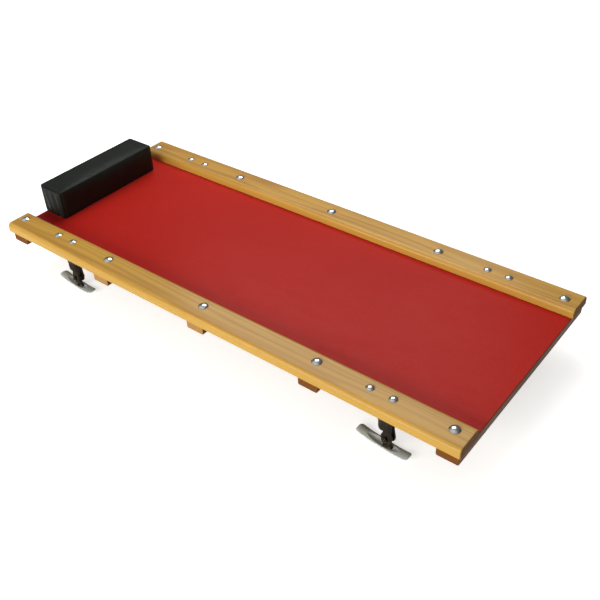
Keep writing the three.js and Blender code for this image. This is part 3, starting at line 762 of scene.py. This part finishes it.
def skid_sole():
    """The sole: a crowned bar, flat below, with turned-up round tips and an oval dish round the lug."""
    half_length, half_width, end_half_width = 50, 9.8, 9.2
    edge, crown_height, tip_rise, tip_round = 2.6, 4.2, 4, 6
    dish_length, dish_width, dish_depth = 31, 7.4, 3.2
    middle = TRAIL - 9
    stations, sides = 130, 120
    rings = []
    for i in range(stations + 1):
        along = 0.66 * (2 * i / stations - 1) - 0.34 * math.cos(math.pi * i / stations)
        along = min(max(along, -0.9997), 0.9997)
        into_tip = max(0, abs(along) * half_length - half_length + tip_round) / tip_round
        closing = (1 - into_tip**2.4) ** (1 / 2.4)
        half = (half_width + (end_half_width - half_width) * along**2) * (0.45 + 0.55 * closing)
        rise = tip_rise * max(0, (abs(along) - 0.3) / 0.7) ** 2
        ring = []
        for k in range(sides):
            angle = 2 * math.pi * (k + 0.5) / sides
            cosine, sine = math.cos(angle), math.sin(angle)
            across = math.copysign(abs(cosine) ** 0.6, cosine)
            up = math.copysign(abs(sine) ** 0.35, sine)
            flank = min(max((abs(across) - 0.12) / 0.88, 0), 1)
            thick = edge + (crown_height - edge) * (1 - flank**1.5)
            oval = (along * half_length / dish_length) ** 2 + (across * half / dish_width) ** 2
            thick -= dish_depth * min(max((1 - oval) / 0.9, 0), 1)
            thick *= 0.35 + 0.65 * closing**0.5
            ring.append((middle + along * half_length, across * half, rise + thick * (0.5 + 0.5 * up)))
        rings.append(ring)
    return Shape().loft(rings)


def skid_lug():
    """The upright lug: a flared foot on the sole, a narrow neck and a bored eye between the cheeks."""
    foot_and_neck = [(0.9, 9.4, 4.4), (2.2, 9.2, 4.3), (3, 8.4, 3.8), (4.2, 7.5, 3.3), (6, 6.8, 3.0)]
    foot_and_neck += [(9, 6.6, LUG_HALF), (13, 7.2, LUG_HALF), (17, 7.4, LUG_HALF)]
    rings = []
    for height, half_x, half_y in foot_and_neck:
        rings.append(squircle(half_x, half_y, height, 2.6, centre_x=TRAIL, sides=48))
    shape = Shape().loft(rings)
    bore, outer, ease = 3.4, 8, 0.4
    eye = [(bore, -LUG_HALF), (outer - ease, -LUG_HALF), (outer, -LUG_HALF + ease)]
    eye += [(outer, LUG_HALF - ease), (outer - ease, LUG_HALF), (bore, LUG_HALF)]
    shape.loft(turned(eye, axis="Y", centre=(TRAIL, PIVOT_HEIGHT), sides=48), loop=True)
    return shape


def feet():
    fork, pin, king, balls = swivel_fork(), pivot_bolt(), kingpin(), ball_ring()
    sole, lug = skid_sole(), skid_lug()
    across = Matrix.Translation((TRAIL * MM, 0, PIVOT_HEIGHT * MM)) @ Matrix.Rotation(math.pi / 2, 4, "X")
    for corner in CORNERS:
        place = foot_place(corner)
        swivel, skid = f"swivel_{corner}", f"skid_{corner}"
        dress(f"foot_plate_{corner}", BLACK_STEEL, bevel=0.5)
        add_piece(
            f"king_rivet_{corner}", king, ZINC, nodes=[f"kingpin_{corner}"], place=place
        )
        add_piece(
            f"bearing_{corner}", balls, CHROME, swivel, [f"ball_ring_{corner}"], place
        )
        add_piece(
            f"fork_{corner}", fork, BLACK_STEEL, swivel, [f"swivel_fork_{corner}"], place
        )
        add_piece(
            f"pivot_bolt_{corner}", pin, BLACK_STEEL, swivel, [f"pivot_pin_{corner}"],
            place @ across
        )
        add_piece(
            f"sole_{corner}", sole, CHROME, skid, [f"skid_shoe_{corner}"], place, crisp=60
        )
        add_piece(f"sole_lug_{corner}", lug, BLACK_STEEL, skid, place=place)


# ---------- headrest cushion ----------
CUSHION_LOW, CUSHION_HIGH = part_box("headrest_cushion")
CUSHION_MIDDLE = (CUSHION_LOW + CUSHION_HIGH) / 2
CUSHION_HALF = (CUSHION_HIGH - CUSHION_LOW) / 2
START_INSET = 0.9 * MM  # how much smaller than the CAD solid the foam block starts
CELL = 4.5 * MM  # the cloth's squares
SEAM_HOLD = 2.6 * MM  # how far from a seam the cloth is held
PRESSURE = 4
CLOTH_FRAMES = 20
SWELL_CAP = 5.0 * MM  # the most that the simulation may move a point
SEAM_INSET = 1.6 * MM  # from the end of the cushion to the cord in its end panel's seam
CORD_RADIUS = 1.1  # this size and the next four in millimetres
THREAD_RADIUS = 0.3
STITCH_INSET = 5  # from the cord to the row of stitches beside it
STITCH_FLOOR = 3  # no stitch lies closer to the deck
BOARD_GAP = 0.3  # air round the board in its recess


def cushion_blank():
    """The foam block: even squares, narrow edges at the cover's seams and a round fold at the front top."""
    work = bmesh.new()
    bmesh.ops.create_cube(work, size=2)
    low = CUSHION_LOW + Vector((START_INSET, START_INSET, 0))
    high = CUSHION_HIGH - Vector((START_INSET,) * 3)
    for vert in work.verts:
        vert.co = Vector(b if share > 0 else a for share, a, b in zip(vert.co, low, high))
    fold = []
    for edge in work.edges:
        if all(vert.co.x > 0.99 * high.x and vert.co.z > 0.99 * high.z for vert in edge.verts):
            fold.append(edge)
    bmesh.ops.bevel(work, geom=fold, offset=7 * MM, segments=4, profile=0.5, affect="EDGES")
    sharp = [edge for edge in work.edges if edge.calc_face_angle() > math.radians(60)]
    bmesh.ops.bevel(work, geom=sharp, offset=1.5 * MM, segments=2, profile=0.5, affect="EDGES")
    for axis in range(3):
        count = round((high[axis] - low[axis]) / CELL)
        for k in range(1, count):
            where, across = Vector(), Vector()
            where[axis] = low[axis] + (high[axis] - low[axis]) * k / count
            across[axis] = 1
            geometry = work.verts[:] + work.edges[:] + work.faces[:]
            bmesh.ops.bisect_plane(work, geom=geometry, plane_co=where, plane_no=across, dist=0.2 * MM)
    mesh = bpy.data.meshes.new("foam_block")
    work.to_mesh(mesh)
    work.free()
    block = bpy.data.objects.new("foam_block", mesh)
    bpy.context.scene.collection.objects.link(block)
    return block


def baked(piece):
    """Turns what the modifiers show into the piece's own mesh, and drops the modifiers."""
    graph = bpy.context.evaluated_depsgraph_get()
    mesh = bpy.data.meshes.new_from_object(piece.evaluated_get(graph))
    piece.modifiers.clear()
    piece.data = mesh


def read_points(mesh):
    flat = np.zeros(len(mesh.vertices) * 3)
    mesh.vertices.foreach_get("co", flat)
    return flat.reshape(-1, 3)


def write_points(mesh, points):
    mesh.vertices.foreach_set("co", points.ravel())
    mesh.update()


def seam_distance(points):
    """How far each point is from the nearest seam: round both end panels, and along the back top edge."""
    x, y, z = (points - np.array(CUSHION_MIDDLE)).T
    to_end = CUSHION_HALF.y - np.abs(y)
    to_side = CUSHION_HALF.x - np.abs(x)
    to_back = CUSHION_HALF.x + x
    to_top = CUSHION_HALF.z - z
    upright = np.hypot(to_end, to_side)
    level = np.hypot(to_end, to_top)
    back = np.hypot(to_back, to_top)
    return np.minimum(np.minimum(upright, level), back)


def inflate(piece):
    """Cloth under pressure, held along its seams and its bottom. Every point's travel is capped softly."""
    start = read_points(piece.data)
    held = piece.vertex_groups.new(name="held")
    bottom = start[:, 2] < start[:, 2].min() + 2 * MM
    seams = seam_distance(start) < SEAM_HOLD
    held.add(np.flatnonzero(bottom | seams).tolist(), 1.0, "REPLACE")
    cloth = piece.modifiers.new("cloth", "CLOTH")
    cloth.settings.quality = 6
    cloth.settings.use_pressure = True
    cloth.settings.uniform_pressure_force = PRESSURE
    cloth.settings.vertex_group_mass = "held"
    cloth.settings.effector_weights.gravity = 0
    for number in range(1, CLOTH_FRAMES + 1):
        bpy.context.scene.frame_set(number)
    baked(piece)
    bpy.context.scene.frame_set(1)
    moved = read_points(piece.data) - start
    travel = np.maximum(np.linalg.norm(moved, axis=1, keepdims=True), 1e-9)
    write_points(piece.data, start + moved * SWELL_CAP * np.tanh(travel / SWELL_CAP) / travel)


def shape_cover(points, normals):
    """Folds, puckers and seams of the sewn cover, as moves of the fine mesh.

    The moves along the normals add up in millimetres. The waves' lengths are multiples of MM.
    """
    x, y, z = (points - np.array(CUSHION_MIDDLE)).T
    up = points[:, 2] - CUSHION_LOW.z
    from_seam = seam_distance(points)
    open_cover = smooth_step(from_seam, 3 * MM, 14 * MM)
    on_end = smooth_step(np.abs(normals[:, 1]), 0.6, 0.95)
    on_side = smooth_step(np.abs(normals[:, 0]), 0.5, 0.9)
    on_top = smooth_step(normals[:, 2], 0.5, 0.9)
    # upright folds on the end panels, and long soft waves on the other faces
    folds = np.cos(x / (2.9 * MM) + 0.9 * np.sin(z / (13 * MM)) + np.sign(y)) * 0.8
    folds += np.cos(x / (5.1 * MM) + 1.7 + z / (50 * MM)) * 0.9
    out = on_end * open_cover * folds
    waves = np.sin(y / (19 * MM) + 0.8) + 0.7 * np.sin(y / (11.3 * MM) + x / (30 * MM))
    out += 0.25 * waves * (on_top + on_side) * open_cover
    # small gathers where the cover is pulled under, a groove along each seam and gathers beside it
    puckers = np.cos(y / (2.3 * MM) + 1.3 * np.sin(y / (17 * MM)))
    out += 0.3 * puckers * on_side * (1 - smooth_step(up, 3 * MM, 14 * MM)) * open_cover
    out -= (0.9 + 0.9 * on_end) * np.exp(-(((from_seam / MM - 3.4) / 1.4) ** 2))
    gathers = np.cos(points[:, 0] / (1.9 * MM)) * np.cos(points[:, 1] / (2.2 * MM))
    out += 0.16 * gathers * np.exp(-(((from_seam / MM - 6) / 2.5) ** 2))
    moved = points + normals * out[:, None] * MM
    tuck = 0.8 * MM * (1 - smooth_step(up, 0, 12 * MM))
    moved[:, 0] -= np.sign(x) * tuck * on_side
    moved[:, 1] -= np.sign(y) * tuck * on_end
    moved[:, 2] = np.maximum(moved[:, 2], CUSHION_LOW.z)
    return moved


def subdivide(piece, levels):
    smooth = piece.modifiers.new("smooth", "SUBSURF")
    smooth.levels = levels
    smooth.render_levels = levels
    baked(piece)


def cut_board_recess(piece):
    """Opens the underside where the plywood board sits."""
    low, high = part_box("headrest_board")
    gap = BOARD_GAP * MM
    work = bmesh.new()
    bmesh.ops.create_cube(work, size=1)
    for vert in work.verts:
        vert.co.x = (low.x - gap) if vert.co.x < 0 else (high.x + gap)
        vert.co.y = (low.y - gap) if vert.co.y < 0 else (high.y + gap)
        vert.co.z = (low.z - 5 * MM) if vert.co.z < 0 else (high.z + gap)
    mesh = bpy.data.meshes.new("recess")
    work.to_mesh(mesh)
    work.free()
    tool = bpy.data.objects.new("recess", mesh)
    bpy.context.scene.collection.objects.link(tool)
    cut = piece.modifiers.new("cut", "BOOLEAN")
    cut.operation = "DIFFERENCE"
    cut.solver = "EXACT"
    cut.object = tool
    baked(piece)
    bpy.data.objects.remove(tool)


def surface_loop(tree, y, lift, count=220):
    """Points round the cushion in the plane at y, lifted off its surface, in metres."""
    points = []
    for k in range(count):
        angle = 2 * math.pi * k / count
        outward = Vector((math.cos(angle), 0, math.sin(angle)))
        start = Vector((CUSHION_MIDDLE.x, y, CUSHION_MIDDLE.z)) + outward
        hit, normal = tree.ray_cast(start, -outward)[:2]
        point = hit + normal * lift
        point.z = max(point.z, CUSHION_LOW.z + lift + 0.6 * MM)
        points.append(point)
    return points


def tube(shape, path, radius, sides=10, closed=False, flat_side=Vector((0, 1, 0))):
    """A round cord along points in millimetres that lie in a plane across flat_side, closed or capped."""
    rings = []
    count = len(path)
    tip_share = 0.45
    for i, point in enumerate(path):
        before = path[(i - 1) % count] if closed or i > 0 else point
        after = path[(i + 1) % count] if closed or i < count - 1 else point
        ahead = (after - before).normalized()
        other = ahead.cross(flat_side).normalized()
        taper = tip_share if not closed and i in (0, count - 1) else 1.0
        ring = []
        for k in range(sides):
            angle = 2 * math.pi * k / sides
            outward = flat_side * math.cos(angle) + other * math.sin(angle)
            ring.append(tuple(point + outward * radius * taper))
        rings.append(ring)
    shape.loft(rings, loop=closed)


def back_edge(tree, lift):
    """Points along the back top edge, lifted off it, in metres."""
    count = 110
    inward = Vector((1, 0, -1)).normalized()
    edge = Vector((CUSHION_LOW.x, 0, CUSHION_HIGH.z))
    reach = CUSHION_HALF.y - SEAM_INSET
    points = []
    for k in range(count + 1):
        start = edge - inward * 0.1
        start.y = CUSHION_MIDDLE.y + reach * (2 * k / count - 1)
        hit = tree.ray_cast(start, inward)[0]
        points.append(hit - inward * lift)
    return points


def end_piping(tree, side, sign):
    """The welt cord in the end panel's seam."""
    loop = surface_loop(tree, sign * (CUSHION_HALF.y - SEAM_INSET) + CUSHION_MIDDLE.y, 0.1 * MM)
    shape = Shape()
    tube(shape, [point / MM for point in loop], CORD_RADIUS, closed=True)
    add_piece(f"cushion_piping_{side}", shape, VINYL)


def back_piping(tree):
    """The same cord along the back top edge, between the end panels."""
    shape = Shape()
    path = [point / MM for point in back_edge(tree, 0.1 * MM)]
    tube(shape, path, CORD_RADIUS, flat_side=Vector((1, 0, 0)))
    add_piece("cushion_piping_back", shape, VINYL)


def stitching(tree, side, sign):
    """A row of stitches beside the seam, over the top and down both sides."""
    inset = SEAM_INSET + STITCH_INSET * MM
    loop = surface_loop(tree, sign * (CUSHION_HALF.y - inset) + CUSHION_MIDDLE.y, 0.12 * MM, count=720)
    shape = Shape()
    pitch, stitch = 11, 7  # in points of the loop
    for i in range(0, len(loop) - stitch, pitch):
        run = [point / MM for point in loop[i:i + stitch]]
        if min(point.z for point in run) > CUSHION_LOW.z / MM + STITCH_FLOOR:
            tube(shape, run, THREAD_RADIUS, sides=6)
    add_piece(f"cushion_stitching_{side}", shape, THREAD)


def cushion():
    piece = cushion_blank()
    inflate(piece)
    subdivide(piece, 2)
    mesh = piece.data
    normals = np.zeros(len(mesh.vertices) * 3)
    mesh.vertices.foreach_get("normal", normals)
    write_points(mesh, shape_cover(read_points(mesh), normals.reshape(-1, 3)))
    cut_board_recess(piece)
    mesh = piece.data
    bpy.data.objects.remove(piece)
    mesh.shade_smooth()
    mesh.set_sharp_from_angle(angle=math.radians(60))
    shown = show("cushion_cover", mesh, VINYL, PLATFORM, ["headrest_cushion"])
    tree = BVHTree.FromObject(shown, bpy.context.evaluated_depsgraph_get())
    for side, sign in (("right", -1), ("left", 1)):
        end_piping(tree, side, sign)
        stitching(tree, side, sign)
    back_piping(tree)


# ---------- studio ----------
def studio_floor():
    mesh = bpy.data.meshes.new("studio_floor")
    reach = 12  # metres
    corners = [(-reach, -reach, 0), (reach, -reach, 0), (reach, reach, 0), (-reach, reach, 0)]
    mesh.from_pydata(corners, [], [(0, 1, 2, 3)])
    mesh.materials.append(pale_floor())
    floor = bpy.data.objects.new("studio_floor", mesh)
    bpy.context.scene.collection.objects.link(floor)


def soft_light(name, place, size, power, colour=(1, 1, 1)):
    """A rectangular lamp that faces the origin."""
    data = bpy.data.lights.new(name, "AREA")
    data.shape = "RECTANGLE"
    data.size, data.size_y = size
    data.energy = power
    data.color = colour
    lamp = bpy.data.objects.new(name, data)
    lamp.location = place
    lamp.rotation_euler = Vector(place).to_track_quat("Z", "Y").to_euler()
    bpy.context.scene.collection.objects.link(lamp)


def surroundings():
    """A white room for the camera. Its light is bright overhead and dimmer low down and past the foot end.

    In mirrors the room is bright on the near side and dim on the far side.
    """
    world = bpy.data.worlds.new("room")
    bpy.context.scene.world = world
    graph = Graph(world)
    place = graph.node("ShaderNodeTexCoord", {}).outputs["Generated"]
    height = graph.span(graph.axis(place, "Z"), 0, 0.85, 0.28, 0.84)
    foot_end = graph.span(graph.axis(place, "X"), 0, 0.9, 1.0, 0.38)
    near_side = graph.span(graph.axis(place, "Y"), -0.2, 0.3, 1.0, 0.0)
    far_side = graph.calc("SUBTRACT", 1.0, near_side)
    ray = graph.node("ShaderNodeLightPath", {})
    mirrored = ray.outputs["Is Glossy Ray"]
    near_power = graph.span(mirrored, 0, 1, 0.48, 1.05)
    far_power = graph.span(mirrored, 0, 1, 0.40, 0.32)
    power = graph.weighted((near_power, near_side), (far_power, far_side))
    glow = graph.times(graph.times(height, foot_end), power)
    lit = graph.node("ShaderNodeBackground", {"Color": srgb(252, 252, 250), "Strength": glow})
    seen = graph.node("ShaderNodeBackground", {"Color": srgb(255, 255, 255)})
    choose = graph.node("ShaderNodeMixShader", {"Fac": ray.outputs["Is Camera Ray"], 1: lit.outputs[0]})
    graph.feed(choose.inputs[2], seen.outputs[0])
    graph.feed(graph.tree.nodes["World Output"].inputs["Surface"], choose.outputs[0])


def camera():
    """The viewpoint: from the foot end's right, well above, and tilted a little to one side."""
    azimuth, elevation, roll = math.radians(39.4), math.radians(37.7), math.radians(-2.5)
    distance = 1.450
    aim = Vector((0.106, -0.060, DECK_TOP))
    level = math.cos(elevation)
    back = Vector((math.sin(azimuth) * level, -math.cos(azimuth) * level, math.sin(elevation)))
    data = bpy.data.cameras.new("camera")
    data.lens = 50
    eye = bpy.data.objects.new("camera", data)
    eye.location = aim + distance * back
    turn = back.to_track_quat("Z", "Y").to_matrix() @ Matrix.Rotation(roll, 3, "Z")
    eye.rotation_euler = turn.to_euler()
    bpy.context.scene.collection.objects.link(eye)
    bpy.context.scene.camera = eye


def studio():
    studio_floor()
    surroundings()
    soft_light("key", (-0.15, -2.2, 0.7), (2.4, 0.8), 47, colour=(1.0, 0.98, 0.9))
    soft_light("top", (-0.5, 0.85, 1.5), (1.3, 1.3), 18.5)
    camera()
    bpy.context.scene.view_settings.view_transform = "Standard"


platform()
fasteners()
feet()
cushion()
studio()
